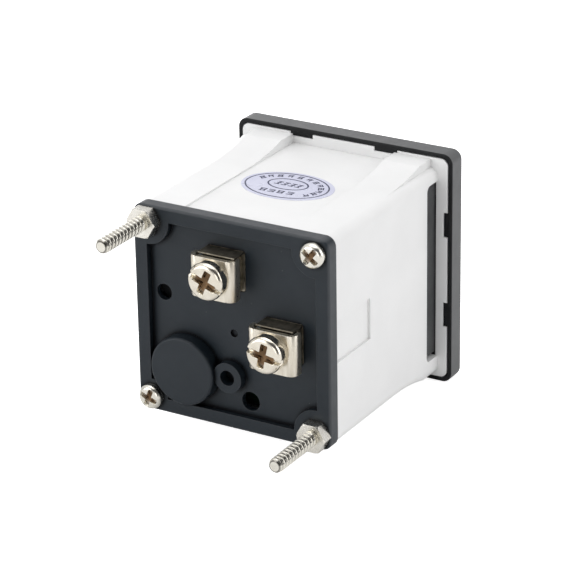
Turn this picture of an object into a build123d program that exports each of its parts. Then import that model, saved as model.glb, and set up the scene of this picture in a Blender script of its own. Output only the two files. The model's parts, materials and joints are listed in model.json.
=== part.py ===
from build123d import *
import os
from math import atan2, cos, degrees, radians, sin, sqrt

# Square analog panel meter for a 45 mm panel cut-out, with a quarter-circle scale.
# Origin: the centre of the panel plane, where the bezel's back ring meets the panel.
# +Y points to the rear, the dial looks towards -Y, +Z is up. All sizes are in millimetres.

# Bezel and window
bezel_side = 48.0
bezel_depth = 4.5
bezel_corner = 2.0
bezel_front_round = 0.8
bezel_back_round = 0.25
bezel_wall = 0.85
bezel_lip = 1.5
bezel_bevel = 0.6
window_thickness = 0.9
window_corner = 1.0
window_gap = 0.1
adjuster_window_gap = 0.3

# Housing
flange_gap = 0.15
flange_thickness = 3.0
flange_corner = 1.5
body_step = 3.0
body_corner = 2.0
body_depth = 40.36
wall = 1.5
mouth_wall = 0.5
mouth_corner = 1.0
slot_depth = 4.6
slot_margin = 2.5
slot_corner = 1.2
channel_width = 22.8
channel_depth = 0.3
ramp_height = 1.6
ramp_length = 17.0
ramp_outer = 19.3
side_recess_height = 8.4
side_recess_start = 27.4
side_recess_depth = 0.5
notch_centre = 9.45
notch_width = 5.1
notch_depth = 0.85
tab_gap = 0.08
tab_inset = 0.1
post_radius = 2.7
post_length = 9.4

# Rear plate
plate_overhang = 0.16
plate_thickness = 2.76
plate_corner = 2.0
plate_round = 0.5
rim_width = 2.86
rim_corner = 1.0
floor_drop = 1.5
fastener_inset = 3.06
corner_pad_radius = 4.8
small_pad_radius = 3.4
bearing_boss_radius = 6.9
bearing_boss_height = 3.0
boss_wall = 1.3
screw_boss_spot = (0.9, -10.6)
screw_boss_radius = 3.05
screw_boss_height = 2.0
screw_boss_hole_radius = 1.55
screw_boss_hole_depth = 2.6
trimmer_spot = (15.6, 3.4)
trimmer_hole_radius = 1.65
vent_spot = (-3.05, -15.35)
vent_radius = 1.95
dimple_spot = (0.3, -2.0)
dimple_radius = 0.8
dimple_depth = 0.5

# Mounting studs, nuts and plate screws
stud_radius = 1.5
stud_core_radius = 1.2
stud_reach = 15.4
stud_grip = 8.0
stud_chamfer = 0.4
nut_width = 5.5
nut_height = 2.4
nut_chamfer = 0.3
thread_gap = 0.02
plate_screw_head_radius = 2.5
plate_screw_head_height = 1.8
plate_screw_radius = 1.2
plate_screw_grip = 6.0
plate_screw_slot = 0.8
plate_screw_cross = 3.0
fastener_gap = 0.05

# Terminals
terminal_spots = ((1.6, 11.0), (-10.65, -1.2))
pocket_side = 8.2
pocket_corner = 0.5
pocket_gap = 0.1
base_thickness = 1.0
bushing_radius = 3.0
bushing_gap = 0.05
bushing_boss_side = 10.0
bushing_boss_height = 2.0
clamp_width = 9.5
clamp_drop = 0.5
clamp_height = 8.2
clamp_sheet = 0.9
clamp_leg = 1.75
clamp_bend = 1.0
clamp_inner_bend = 0.3
clamp_lift = 2.38
washer_radius = 3.4
washer_height = 0.9
washer_split = 0.5
terminal_head_radius = 3.5
terminal_head_height = 2.4
terminal_head_round = 0.8
terminal_thread_radius = 1.95
terminal_thread_gap = 0.05
terminal_hole_gap = 0.2
terminal_thread_length = 9.5
terminal_slot_width = 0.9
terminal_cross_width = 1.3
terminal_cross_length = 4.4
terminal_recess_depth = 1.2
terminal_recess_angles = (28, 14)

# Dial frame and dial
frame_gap = 0.2
frame_seat_gap = 0.1
frame_lip = 0.7
frame_side_wall = 0.8
frame_floor = 1.2
frame_corner = 1.0
dial_thickness = 0.5
dial_gap = 0.1
dial_corner = 0.8
dial_cut = 7.6
dial_screw_side_inset = 2.3
dial_screw_end_inset = 2.6
dial_screw_head_radius = 1.1
dial_screw_head_height = 0.5
dial_screw_radius = 0.5
dial_screw_slot = 0.3
yoke_seat_gap = 0.02
cradle_wall = 1.3

# Corner cover over the movement
cover_reach = 9.4
cover_edge_gap = 0.2
cover_top = 0.8
cover_wall = 0.8
cover_corner = 7.0
cover_pointer_gap = 1.3
cover_peg_radius = 0.7
cover_peg_inset = 1.5
cover_peg_gap = 0.05
pointer_slot_margin = 1.3

# Zero adjuster and its lever
adjuster_distance = 5.4
adjuster_head_radius = 2.1
adjuster_proud = 0.3
adjuster_neck_radius = 1.6
adjuster_collar_radius = 1.9
adjuster_collar = 0.4
adjuster_gap = 0.05
adjuster_play = 0.1
adjuster_slot_width = 0.6
adjuster_slot_depth = 0.7
adjuster_pin_radius = 0.45
adjuster_pin_offset = 0.9
adjuster_pin_reach = 0.3
lever_hub_radius = 2.4
lever_thickness = 0.4
lever_slot_gap = 0.08
lever_end = 7.8
lever_width = 2.4
lever_tab_width = 0.8
lever_tab_thickness = 0.4
zero_turn = 45

# Movement: a moving coil on the axis of the rear boss
pivot_side_inset = 10.5
pivot_low_inset = 10.0
bridge_front = -0.2
bridge_thickness = 0.8
bridge_width = 2.6
bridge_end = 1.3
bearing_radius = 1.2
bearing_flange_radius = 1.8
bearing_flange = 0.45
bearing_lever_play = 0.15
bearing_cup_radius = 0.3
bearing_cup_depth = 0.4
bearing_reach = 0.2
bearing_slot = 0.4
bearing_gap = 0.05
leg_radius = 0.85
leg_distance = 7.3
movement_screw_radius = 0.5
movement_screw_gap = 0.05
movement_screw_head_radius = 0.95
movement_screw_head = 0.6
yoke_start = 5.6
yoke_length = 12.0
yoke_radius = 8.2
yoke_bore_radius = 6.4
core_radius = 4.7
strap_width = 3.2
strap_thickness = 0.8
coil_core_gap = 0.35
coil_end_gap = 0.3
coil_width = 3.0
former_thickness = 0.3
winding_thickness = 0.55
staff_radius = 0.4
staff_base_radius = 1.4
staff_base = 0.5
staff_tip_radius = 0.12
collet_radius = 0.8
collet_length = 0.5
spring_width = 0.4
spring_strip = 0.12
spring_pitch = 0.38
spring_half_turns = 6
front_spring_start = 1.15
rear_spring_gap = 0.35
pointer_front = 1.9
pointer_thickness = 0.3
pointer_length = 25.6
pointer_hub_radius = 1.6
pointer_root_width = 1.1
pointer_tip_width = 0.35
pointer_tail = 4.6
pointer_arm = 4.2
pointer_arm_width = 0.7
weight_radius = 0.6
weight_distance = 3.8
tail_weight_height = 0.9
arm_weight_height = 0.35

# Circuit board and what is on it
board_thickness = 1.2
board_boss_gap = 2.6
board_wall_gap = 0.4
board_post_gap = 0.4
board_hole_gap = 0.35
trimmer_radius = 2.6
trimmer_height = 3.2
trimmer_slot = 0.5
trimmer_slot_length = 2.64
capacitor_spot = (-9.0, 10.0)
capacitor_radius = 4.0
capacitor_height = 9.0
capacitor_round = 0.6
capacitor_groove = 0.3
capacitor_groove_lift = 1.2
resistor_spots = ((-4.0, -6.0), (-4.0, -12.0))
resistor_radius = 1.5
resistor_waist = 1.25
resistor_length = 7.0
resistor_cap = 1.4
resistor_wire_radius = 0.3
resistor_wire_reach = 2.2
resistor_lift = 0.4
resistor_wire_bend = 1.0
lead_radius = 0.35
lead_straight = 4.2
lead_bend_share = 0.45
lead_board_spots = ((4.5, -6.5), (13.5, -2.5))

# Inspection label on the top of the housing
label_spot = (0.3, 21.3)
label_width = 18.0
label_depth = 13.5
label_thickness = 0.08

# Levels along the depth, worked out from the sizes above
body_side = bezel_side - 2 * body_step
cutout_side = body_side + 2 * ramp_height
slot_height = body_side - 2 * slot_margin
plate_side = body_side + 2 * plate_overhang
fastener_pitch = plate_side - 2 * fastener_inset
pivot_spot = (body_side / 2 - pivot_side_inset, pivot_low_inset - body_side / 2)
flange_side = bezel_side - 2 * (bezel_wall + flange_gap)
flange_front = -flange_thickness
window_front = flange_front - window_thickness
window_side = bezel_side - 2 * (bezel_wall + bezel_lip)
opening_side = window_side - 2 * bezel_lip
plate_outer = body_depth + plate_thickness
plate_floor = plate_outer - floor_drop
mouth_side = body_side - 2 * mouth_wall
cavity_side = body_side - 2 * wall
post_front = body_depth - post_length
pocket_floor = plate_floor - base_thickness
clamp_leg_end = plate_floor + clamp_lift
clamp_front = clamp_leg_end + clamp_leg + clamp_sheet
head_seat = clamp_front + washer_height
head_top = head_seat + terminal_head_height
frame_width = mouth_side - 2 * frame_gap
frame_height = slot_height - 2 * frame_gap
frame_front = flange_front + frame_seat_gap
frame_back = slot_depth - frame_gap
floor_front = frame_back - frame_floor
dial_front = floor_front - dial_thickness
dial_room_width = frame_width - 2 * (frame_lip + frame_seat_gap)
dial_room_height = frame_height - 2 * frame_side_wall
cover_front = frame_front
cover_under = cover_front + cover_top
bridge_back = bridge_front + bridge_thickness
lever_front = bridge_front - lever_thickness - bearing_lever_play
lever_back = lever_front + lever_thickness
yoke_end = yoke_start + yoke_length
front_strap = yoke_start - strap_thickness
rear_strap = yoke_end + strap_thickness
coil_inside = core_radius + coil_core_gap
coil_inner_front = front_strap - coil_end_gap
coil_inner_rear = rear_strap + coil_end_gap
coil_wall = former_thickness + winding_thickness
coil_front = coil_inner_front - coil_wall
coil_rear = coil_inner_rear + coil_wall
rear_spring_start = coil_rear + staff_base + rear_spring_gap
rear_bridge_front = rear_spring_start + collet_length + rear_spring_gap + bearing_reach
rear_bridge_back = rear_bridge_front + bridge_thickness
board_rear = body_depth - bushing_boss_height - board_boss_gap
board_front = board_rear - board_thickness
cover_left = pivot_spot[0] - cover_reach
cover_right = dial_room_width / 2 - cover_edge_gap
cover_low = cover_edge_gap - dial_room_height / 2
cover_high = pivot_spot[1] + cover_reach

dial_screw_spots = (
    (dial_screw_side_inset - dial_room_width / 2, dial_screw_end_inset - dial_room_height / 2),
    (dial_room_width / 2 - dial_screw_side_inset, dial_room_height / 2 - dial_screw_end_inset),
)
half_pitch = fastener_pitch / 2
stud_spots = ((half_pitch, half_pitch), (-half_pitch, -half_pitch))
screw_spots = ((-half_pitch, half_pitch), (half_pitch, -half_pitch))
small_pad_spot = screw_spots[1]
spring_end = collet_radius + spring_strip / 2 + spring_half_turns * spring_pitch
lever_tab_distance = spring_end + spring_strip / 2 + lever_tab_thickness / 2
lever_angle = -45
bridge_angle = 45


def from_pivot(distance, angle):
    """A spot in X and Z at a distance from the movement's axis."""
    x, z = pivot_spot
    return x + distance * cos(radians(angle)), z + distance * sin(radians(angle))


adjuster_spot = from_pivot(adjuster_distance, lever_angle)
leg_spots = (from_pivot(leg_distance, bridge_angle), from_pivot(-leg_distance, bridge_angle))


def between(sketch, near, far):
    """Extrude a sketch drawn in X and Z from one depth to another."""
    plane = Plane(origin=(0, near, 0), x_dir=(1, 0, 0), z_dir=(0, -1, 0))
    return extrude(plane * sketch, amount=far - near, dir=(0, 1, 0))


def at(spot, sketch, angle=0):
    """A sketch turned by an angle and moved to a spot in X and Z."""
    return Pos(spot[0], spot[1]) * Rot(0, 0, angle) * sketch


def disc(radius, near, far, spot=(0, 0)):
    return between(at(spot, Circle(radius)), near, far)


def discs(radius, near, far, spots):
    return Part() + [disc(radius, near, far, spot) for spot in spots]


def slab(width, height, corner, near, far, spot=(0, 0)):
    return between(at(spot, RectangleRounded(width, height, corner)), near, far)


def block(x_range, y_range, z_range):
    """A plain box given by its ranges."""
    lows, highs = zip(x_range, y_range, z_range)
    sizes = [high - low for low, high in zip(lows, highs)]
    return Pos(*lows) * Box(*sizes, align=(Align.MIN, Align.MIN, Align.MIN))


def turned(profile, spot):
    """Revolve a closed profile of radius and depth about an axis along Y."""
    outline = make_face(Polyline(*profile, close=True))
    return Pos(spot[0], 0, spot[1]) * revolve(outline, axis=Axis.Y)


def funnel(near, near_sides, far, far_sides, corner):
    """A block between two rectangles, with its four slanted edges rounded."""
    mouth = Plane(origin=(0, near, 0), x_dir=(1, 0, 0), z_dir=(0, -1, 0))
    end = mouth.offset(near - far)
    solid = loft([mouth * Rectangle(*near_sides), end * Rectangle(*far_sides)], ruled=True)
    slanted = solid.edges().filter_by(lambda edge: abs(edge.tangent_at(0.5).Y) > 0.5)
    return fillet(slanted, corner)


def front_edges(solid):
    return solid.edges().group_by(Axis.Y)[0]


def back_edges(solid):
    return solid.edges().group_by(Axis.Y)[-1]


def half_turned(solid):
    """The solid and its copy turned by half a turn about the depth axis."""
    return solid + Rot(0, 180, 0) * solid


def notch_places():
    """The places along each side of the flange where the bezel snaps on."""
    for angle in range(0, 360, 90):
        for offset in (-notch_centre, notch_centre):
            yield angle, offset


def bezel():
    shell = slab(bezel_side, bezel_side, bezel_corner, -bezel_depth, 0)
    shell = fillet(front_edges(shell), bezel_front_round)
    shell = fillet(back_edges(shell), bezel_back_round)
    pocket = flange_side + 2 * flange_gap
    shell -= slab(pocket, pocket, flange_corner + flange_gap, flange_front, 1)
    rebate = window_side + 2 * window_gap
    shell -= slab(rebate, rebate, window_corner + window_gap, window_front, flange_front)
    wide = opening_side + 2 * bezel_bevel
    sides = (opening_side, opening_side)
    shell -= funnel(-bezel_depth, (wide, wide), window_front, sides, window_corner)
    tab_width = notch_width - 2 * tab_gap
    tab_reach = notch_depth - tab_gap
    tab_middle = flange_side / 2 - tab_reach / 2 + flange_gap / 2
    for angle, offset in notch_places():
        tab = Rot(0, 0, angle) * Pos(tab_middle, offset) * Rectangle(tab_reach + flange_gap, tab_width)
        shell += between(tab, flange_front, -tab_inset)
    return shell


def window():
    pane = slab(window_side, window_side, window_corner, window_front, flange_front)
    hole = adjuster_head_radius + adjuster_window_gap
    return pane - disc(hole, window_front, flange_front, adjuster_spot)


def ramp(x_near, x_far):
    """A ledge behind the flange that runs out onto the body in a hollow curve."""
    top = body_side / 2
    crest = cutout_side / 2
    root = top - 2 * body_corner
    hollow = TangentArc((ramp_length, top), (slot_depth, crest), tangent=(-1, 0))
    lines = Polyline((slot_depth, crest), (0, crest), (0, root), (ramp_length, root), (ramp_length, top))
    side = Plane(origin=(x_near, 0, 0), x_dir=(0, 1, 0), z_dir=(1, 0, 0))
    return extrude(side * make_face((hollow + lines).edges()), amount=x_far - x_near)


def ramps():
    """A narrow and a wide ramp on top, and the same pair turned below."""
    half = body_side / 2
    narrow = ramp(-ramp_outer, -channel_width / 2)
    wide = ramp(channel_width / 2, half)
    outer_edges = wide.faces().sort_by(Axis.X)[-1].edges()
    wide = fillet(outer_edges.filter_by(lambda edge: (edge @ 0.5).Z > half), body_corner)
    return half_turned(narrow + wide)


def side_slots():
    """The openings through both side walls just behind the flange."""
    profile = RectangleRounded(2 * slot_depth, slot_height, slot_corner)
    through = extrude(Plane.YZ * profile, amount=body_side, both=True)
    return through & block((-body_side, body_side), (0, slot_depth), (-body_side, body_side))


def housing():
    half = body_side / 2
    shell = slab(body_side, body_side, body_corner, 0, body_depth) + ramps()
    floor = half - channel_depth
    channel = block((-channel_width / 2, channel_width / 2), (0, body_depth), (floor, half))
    shell -= half_turned(channel)
    recess = block(
        (half - side_recess_depth, half),
        (side_recess_start, body_depth),
        (-side_recess_height / 2, side_recess_height / 2),
    )
    shell -= half_turned(recess)
    shell -= side_slots()
    shell += slab(flange_side, flange_side, flange_corner, flange_front, 0)
    shell -= slab(mouth_side, mouth_side, mouth_corner, flange_front, 0)
    shell -= slab(mouth_side, slot_height, slot_corner, 0, slot_depth)
    shell -= slab(cavity_side, cavity_side, body_corner - mouth_wall, slot_depth, body_depth)
    shell += discs(post_radius, post_front, body_depth, stud_spots + screw_spots)
    shell -= discs(stud_core_radius + thread_gap, body_depth - stud_grip, body_depth, stud_spots)
    shell -= discs(plate_screw_radius + thread_gap, body_depth - plate_screw_grip, body_depth, screw_spots)
    for angle, offset in notch_places():
        notch = Rot(0, 0, angle) * Pos(flange_side / 2, offset) * Rectangle(2 * notch_depth, notch_width)
        shell -= between(notch, flange_front, 0)
    return shell


def rear_plate_floor():
    """The sunk area inside the rim, which leaves the corner pads standing."""
    side = plate_side - 2 * rim_width
    sunk = RectangleRounded(side, side, rim_corner)
    for spot in stud_spots + screw_spots[:1]:
        sunk -= at(spot, Circle(corner_pad_radius))
    sunk -= at(small_pad_spot, Circle(small_pad_radius))
    return between(sunk, plate_floor, plate_outer)


def rear_plate():
    plate = slab(plate_side, plate_side, plate_corner, body_depth, plate_outer)
    plate = fillet(back_edges(plate), plate_round)
    plate -= rear_plate_floor()
    boss_top = plate_floor + bearing_boss_height
    boss = disc(bearing_boss_radius, body_depth, boss_top, pivot_spot)
    plate += fillet(back_edges(boss), plate_round)
    plate -= disc(bearing_boss_radius - boss_wall, body_depth, boss_top - boss_wall, pivot_spot)
    screw_boss_top = plate_floor + screw_boss_height
    plate += disc(screw_boss_radius, plate_floor, screw_boss_top, screw_boss_spot)
    hole_end = screw_boss_top - screw_boss_hole_depth
    plate -= disc(screw_boss_hole_radius, hole_end, screw_boss_top, screw_boss_spot)
    plate -= disc(trimmer_hole_radius, body_depth, plate_floor, trimmer_spot)
    plate -= disc(vent_radius, body_depth, plate_floor, vent_spot)
    plate -= disc(dimple_radius, plate_floor - dimple_depth, plate_floor, dimple_spot)
    for spot in terminal_spots:
        boss_front = body_depth - bushing_boss_height
        plate += slab(bushing_boss_side, bushing_boss_side, pocket_corner, boss_front, body_depth, spot)
        plate -= slab(pocket_side, pocket_side, pocket_corner, pocket_floor, plate_floor, spot)
        plate -= disc(bushing_radius + bushing_gap, boss_front, pocket_floor, spot)
    plate -= discs(stud_radius + thread_gap, body_depth, plate_outer, stud_spots)
    plate -= discs(plate_screw_radius + fastener_gap, body_depth, plate_outer, screw_spots)
    return plate


def mounting_stud(spot):
    """A stud at its thread's core size where the post and the nut hold it."""
    nut_end = plate_outer + nut_height
    free_end = disc(stud_radius, nut_end, plate_outer + stud_reach, spot)
    stud = chamfer(back_edges(free_end), stud_chamfer)
    return stud + disc(stud_core_radius, body_depth - stud_grip, nut_end, spot)


def stud_nut(spot):
    hexagon = RegularPolygon(nut_width / 2, 6, major_radius=False)
    nut = between(at(spot, hexagon), plate_outer, plate_outer + nut_height)
    across_corners = hexagon.bounding_box().size.X / 2
    cone = chamfer(back_edges(disc(across_corners, plate_outer, plate_outer + nut_height, spot)), nut_chamfer)
    nut &= cone
    return nut - disc(stud_core_radius + thread_gap, plate_outer, plate_outer + nut_height, spot)


def cross_recess(spot, width, length, near, far, slot_length):
    """A cross cut into a screw's face, with one arm as long as the slot."""
    cross = Rectangle(length, width) + Rectangle(width, length)
    cross += Rectangle(slot_length, plate_screw_slot)
    return between(at(spot, cross), near, far)


def plate_screw(spot):
    top = plate_outer + plate_screw_head_height
    head = disc(plate_screw_head_radius, plate_outer, top, spot)
    screw = fillet(back_edges(head), plate_round)
    screw += disc(plate_screw_radius, body_depth - plate_screw_grip, plate_outer, spot)
    length = plate_screw_cross
    depth = plate_screw_head_height / 2
    return screw - cross_recess(spot, plate_screw_slot, length, top - depth, top, length)


def terminal_base(spot):
    side = pocket_side - 2 * pocket_gap
    base = slab(side, side, pocket_corner, pocket_floor, plate_floor, spot)
    base += disc(bushing_radius, board_rear, pocket_floor, spot)
    return base - disc(terminal_thread_radius + terminal_thread_gap, board_rear, plate_floor, spot)


def terminal_clamp(spot):
    """A saddle of bent sheet that presses the wire onto the base."""
    depth = clamp_leg + clamp_sheet
    outer = Pos(0, clamp_front) * Rectangle(clamp_width, depth, align=(Align.CENTER, Align.MAX))
    outer = fillet(outer.vertices().group_by(Axis.Y)[-1], clamp_bend)
    inner = Pos(0, clamp_leg_end) * Rectangle(
        clamp_width - 2 * clamp_sheet, clamp_leg, align=(Align.CENTER, Align.MIN)
    )
    inner = fillet(inner.vertices().group_by(Axis.Y)[-1], clamp_inner_bend)
    channel = extrude(outer - inner, amount=clamp_height / 2, both=True)
    channel = Pos(spot[0], 0, spot[1] - clamp_drop) * channel
    return channel - disc(terminal_thread_radius + terminal_hole_gap, clamp_leg_end, clamp_front, spot)


def lock_washer(spot):
    ring = Circle(washer_radius) - Circle(terminal_thread_radius + terminal_hole_gap)
    ring -= Pos(0, washer_radius) * Rectangle(washer_split, washer_radius)
    return between(at(spot, ring, lever_angle), clamp_front, head_seat)


def terminal_screw(spot):
    head = disc(terminal_head_radius, head_seat, head_top, spot)
    screw = fillet(back_edges(head), terminal_head_round)
    screw += disc(terminal_thread_radius, head_seat - terminal_thread_length, head_seat, spot)
    cross = Rectangle(terminal_cross_length, terminal_cross_width)
    cross += Rectangle(terminal_cross_width, terminal_cross_length)
    cross += Rectangle(terminal_slot_width, 2 * terminal_head_radius)
    angle = terminal_recess_angles[terminal_spots.index(spot)]
    return screw - between(at(spot, cross, angle), head_top - terminal_recess_depth, head_top)


def dial_room():
    """The room in front of the dial, whose top and bottom slope inwards."""
    wide = frame_width - 2 * frame_lip
    dial_sides = (dial_room_width, dial_room_height)
    return funnel(frame_front, (wide, wide), floor_front, dial_sides, frame_corner)


def coil_opening():
    """The opening that the coil turns in, with room for the bridge legs."""
    slot = SlotCenterToCenter(2 * leg_distance, strap_width + 2 * frame_gap)
    return at(pivot_spot, Circle(yoke_bore_radius + frame_gap) + Rot(0, 0, bridge_angle) * slot)


def yoke_cradle():
    """Half a ring on the back of the dial frame that holds the yoke."""
    seat = yoke_radius + yoke_seat_gap
    outer = seat + cradle_wall
    half = Rot(0, 0, bridge_angle) * Rectangle(2 * outer, outer, align=(Align.CENTER, Align.MIN))
    ring = between(at(pivot_spot, (Circle(outer) - Circle(seat)) & half), frame_back, yoke_end)
    ledge = between(at(pivot_spot, Circle(outer) & half), frame_back, yoke_start)
    return ring + ledge - between(coil_opening(), frame_back, yoke_start)


def dial_frame():
    frame = slab(frame_width, frame_width, frame_corner, frame_front, -frame_gap)
    frame += slab(frame_width, frame_height, frame_corner, -frame_gap, frame_back)
    frame -= dial_room()
    frame += yoke_cradle()
    frame -= between(coil_opening(), floor_front, frame_back)
    frame -= discs(dial_screw_radius + thread_gap, floor_front, frame_back, dial_screw_spots)
    return frame - discs(cover_peg_radius + cover_peg_gap, floor_front, frame_back, peg_spots())


def dial_plate():
    width = dial_room_width - 2 * dial_gap
    height = dial_room_height - 2 * dial_gap
    plate = slab(width, height, dial_corner, dial_front, floor_front)
    left, low = pivot_spot[0] - dial_cut, pivot_spot[1] + dial_cut
    plate -= block((left, width), (dial_front, floor_front), (-height, low))
    plate -= discs(cover_peg_radius + cover_peg_gap, dial_front, floor_front, peg_spots())
    return plate - discs(dial_screw_radius + fastener_gap, dial_front, floor_front, dial_screw_spots)


def dial_screw(spot):
    top = dial_front - dial_screw_head_height
    screw = disc(dial_screw_head_radius, top, dial_front, spot)
    screw += disc(dial_screw_radius, dial_front, frame_back, spot)
    slot = at(spot, Rectangle(2 * dial_screw_head_radius, dial_screw_slot), bridge_angle)
    return screw - between(slot, top, top + dial_screw_head_height / 2)


def peg_spots():
    """The two pegs of the corner cover, at the ends of its skirt."""
    left = cover_left + cover_peg_inset
    high = cover_high - cover_peg_inset
    return (left, cover_low + cover_peg_inset), (cover_right - cover_peg_inset, high)


def cover_outline(inset):
    """The cover's outline, with a large round at the corner the dial sees."""
    left, high = cover_left + inset, cover_high - inset
    right, low = cover_right + inset, cover_low - inset
    outline = make_face(Polyline((left, low), (right, low), (right, high), (left, high), close=True))
    round_corner = outline.vertices().sort_by(Axis.X)[:2].sort_by(Axis.Y)[-1]
    return fillet(round_corner, cover_corner - inset)


def corner_cover():
    lid = between(cover_outline(0), cover_front, cover_under)
    skirt = cover_outline(0) - cover_outline(cover_wall)
    lid += between(skirt, cover_under, dial_front)
    x, z = pivot_spot
    sweep = block(
        (-bezel_side, x + pointer_slot_margin),
        (dial_front - cover_pointer_gap, dial_front),
        (z - pointer_slot_margin, bezel_side),
    )
    lid -= sweep
    for spot in peg_spots():
        lid += disc(cover_peg_radius + cover_wall, cover_under, dial_front, spot)
        lid += disc(cover_peg_radius, dial_front, frame_back, spot)
    return lid - disc(adjuster_neck_radius + adjuster_gap, cover_front, cover_under, adjuster_spot)


def zero_adjuster():
    """A slotted knob whose off-centre pin turns the zero lever."""
    top = window_front - adjuster_proud
    neck_end = cover_under + adjuster_play
    collar_end = neck_end + adjuster_collar
    knob = disc(adjuster_head_radius, top, cover_front - adjuster_play, adjuster_spot)
    knob += disc(adjuster_neck_radius, cover_front - adjuster_play, neck_end, adjuster_spot)
    knob += disc(adjuster_collar_radius, neck_end, collar_end, adjuster_spot)
    pin_spot = from_pivot(adjuster_distance + adjuster_pin_offset, lever_angle)
    knob += disc(adjuster_pin_radius, collar_end, lever_back + adjuster_pin_reach, pin_spot)
    slot = Rectangle(2 * adjuster_head_radius, adjuster_slot_width)
    return knob - between(at(adjuster_spot, slot, lever_angle), top, top + adjuster_slot_depth)


def zero_lever():
    """The arm on the front bearing that holds the front hairspring's end."""
    arm = Rectangle(lever_end, lever_width, align=(Align.MIN, Align.CENTER)) + Circle(lever_hub_radius)
    pin_centre = adjuster_distance + adjuster_pin_offset
    slot_width = 2 * (adjuster_pin_radius + lever_slot_gap)
    arm -= Pos(pin_centre, 0) * SlotCenterToCenter(adjuster_pin_offset, slot_width)
    arm -= Circle(bearing_radius + bearing_gap)
    lever = between(at(pivot_spot, arm, lever_angle), lever_front, lever_back)
    tab = Pos(lever_tab_distance, 0) * Rectangle(lever_tab_thickness, lever_tab_width)
    tab_end = front_spring_start + spring_width
    return lever + between(at(pivot_spot, tab, lever_angle), lever_back, tab_end)


def bearing_screw(flange_face, inner_face, direction):
    """A bearing screw with a cup at its inner end for the staff's tip."""
    shank = flange_face + direction * bearing_flange
    cup = inner_face - direction * bearing_cup_depth
    profile = (
        (0, flange_face),
        (bearing_flange_radius, flange_face),
        (bearing_flange_radius, shank),
        (bearing_radius, shank),
        (bearing_radius, inner_face),
        (bearing_cup_radius, inner_face),
        (staff_tip_radius + bearing_gap, cup),
        (0, cup),
    )
    slot = at(pivot_spot, Rectangle(2 * bearing_flange_radius, bearing_slot), bridge_angle)
    slot_end = flange_face + direction * bearing_flange / 2
    near, far = sorted((flange_face, slot_end))
    return turned(profile, pivot_spot) - between(slot, near, far)


def front_bearing():
    flange_face = lever_front - bearing_lever_play - bearing_flange
    return bearing_screw(flange_face, bridge_back + bearing_reach, 1)


def rear_bearing():
    flange_face = rear_bridge_back + bearing_flange
    return bearing_screw(flange_face, rear_bridge_front - bearing_reach, -1)


def bridge(near, far, leg_near, leg_far):
    """A strip across the movement with two tubular legs at its ends."""
    length = 2 * (leg_distance + bridge_end)
    strip = between(at(pivot_spot, SlotOverall(length, bridge_width), bridge_angle), near, far)
    strip += discs(leg_radius, leg_near, leg_far, leg_spots)
    strip -= disc(bearing_radius, near, far, pivot_spot)
    bore = movement_screw_radius + movement_screw_gap
    return strip - discs(bore, min(near, leg_near), max(far, leg_far), leg_spots)


def front_bridge():
    return bridge(bridge_front, bridge_back, bridge_back, front_strap)


def rear_bridge():
    """The rear strip, whose tab holds the rear hairspring's end."""
    strip = bridge(rear_bridge_front, rear_bridge_back, rear_strap, rear_bridge_front)
    width = bridge_width / 2 + lever_tab_distance + lever_tab_thickness / 2
    ear = Pos(width / 2 - bridge_width / 2, 0) * Rectangle(width, lever_tab_width)
    ear -= Circle(bearing_radius + bearing_gap)
    strip += between(at(pivot_spot, ear, lever_angle), rear_bridge_front, rear_bridge_back)
    tab = Pos(lever_tab_distance, 0) * Rectangle(lever_tab_thickness, lever_tab_width)
    return strip + between(at(pivot_spot, tab, lever_angle), rear_spring_start, rear_bridge_front)


def movement_screw(spot):
    head_front = bridge_front - movement_screw_head
    screw = disc(movement_screw_head_radius, head_front, bridge_front, spot)
    return screw + disc(movement_screw_radius, bridge_front, rear_bridge_back, spot)


def yoke():
    ring = between(at(pivot_spot, Circle(yoke_radius) - Circle(yoke_bore_radius)), yoke_start, yoke_end)
    return ring - discs(movement_screw_radius + movement_screw_gap, yoke_start, yoke_end, leg_spots)


def core_magnet():
    return disc(core_radius, yoke_start, yoke_end, pivot_spot)


def core_strap(near, far):
    """A flat strip from rim to rim of the yoke that carries the magnet."""
    strip = Rectangle(2 * yoke_radius, strap_width) & Circle(yoke_radius)
    strap = between(at(pivot_spot, strip, bridge_angle), near, far)
    return strap - discs(movement_screw_radius + movement_screw_gap, near, far, leg_spots)


def coil_ring(inner_gap, thickness):
    """A rectangular ring around the magnet, seen from the side of the axis."""
    x, z = pivot_spot
    middle = (coil_inner_front + coil_inner_rear) / 2
    width = 2 * (coil_inside + inner_gap)
    length = coil_inner_rear - coil_inner_front + 2 * inner_gap
    outer = Rectangle(width + 2 * thickness, length + 2 * thickness)
    ring = extrude(outer - Rectangle(width, length), amount=coil_width / 2, both=True)
    return Pos(x, middle, z) * ring


def coil_former():
    return coil_ring(0, former_thickness)


def moving_coil():
    return coil_ring(former_thickness, winding_thickness)


def staff(base_face, collet_face, tip_face, direction):
    """A pivot staff glued to the coil's end, pointed where it turns."""
    base = base_face + direction * staff_base
    collet = collet_face + direction * collet_length
    profile = (
        (0, base_face),
        (staff_base_radius, base_face),
        (staff_base_radius, base),
        (staff_radius, base),
        (staff_radius, collet_face),
        (collet_radius, collet_face),
        (collet_radius, collet),
        (staff_radius / 2, collet),
        (staff_tip_radius, tip_face),
        (0, tip_face),
    )
    return turned(profile, pivot_spot)


def front_staff():
    tip = bridge_back + bearing_reach - bearing_cup_depth + bearing_gap
    return staff(coil_front, front_spring_start + collet_length, tip, -1)


def rear_staff():
    tip = rear_bridge_front - bearing_reach + bearing_cup_depth - bearing_gap
    return staff(coil_rear, rear_spring_start, tip, 1)


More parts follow.
